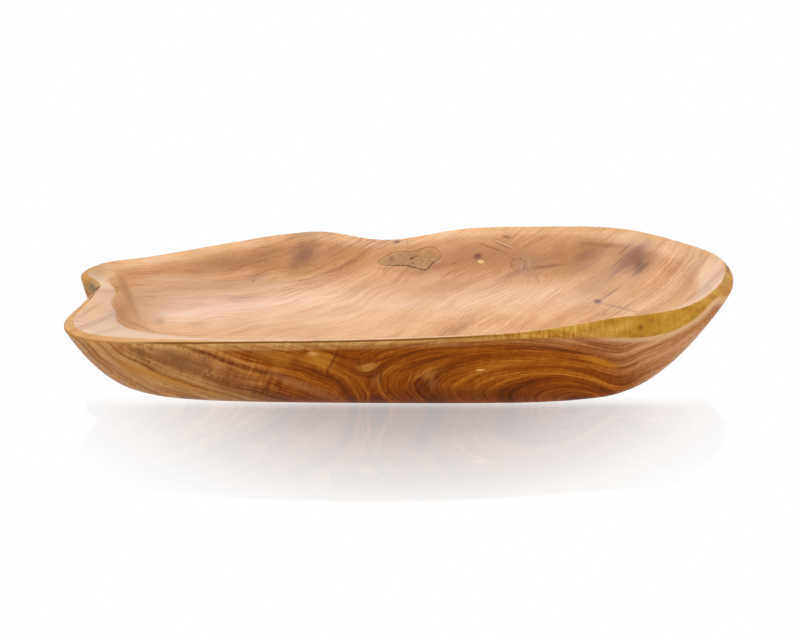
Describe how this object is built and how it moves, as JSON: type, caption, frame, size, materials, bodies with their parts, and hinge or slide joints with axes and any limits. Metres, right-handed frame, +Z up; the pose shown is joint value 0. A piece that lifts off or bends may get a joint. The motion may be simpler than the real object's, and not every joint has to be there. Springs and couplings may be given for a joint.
{
  "type": "carved wooden bowl",
  "caption": "Shallow free-form serving bowl carved from a block of root wood, with a waisted back wall, a cleft at one end and a sloping facet round the other.",
  "frame": {"origin": "in the plane of the foot, under the middle of the overall length and width", "axes": "+X along the bowl to its right tip, +Y to the waisted back wall, +Z up out of the hollow"},
  "size_m": [0.42, 0.244, 0.0575],
  "materials": {
    "root_wood": "satin clear lacquer",
    "filler": "wood dust and resin, sanded and lacquered",
    "pale_knot": "satin clear lacquer",
    "grey_knot": "satin clear lacquer",
    "dark_knot": "satin clear lacquer",
    "bark": "sanded bark under lacquer"
  },
  "bodies": {
    "root": {"bowl_body": "root_wood", "back_wall_filler": "filler", "pin_knot": "pale_knot", "swirl_knot": "grey_knot", "foot_knot": "dark_knot", "cleft_bark": "bark"}
  },
  "joints": []
}
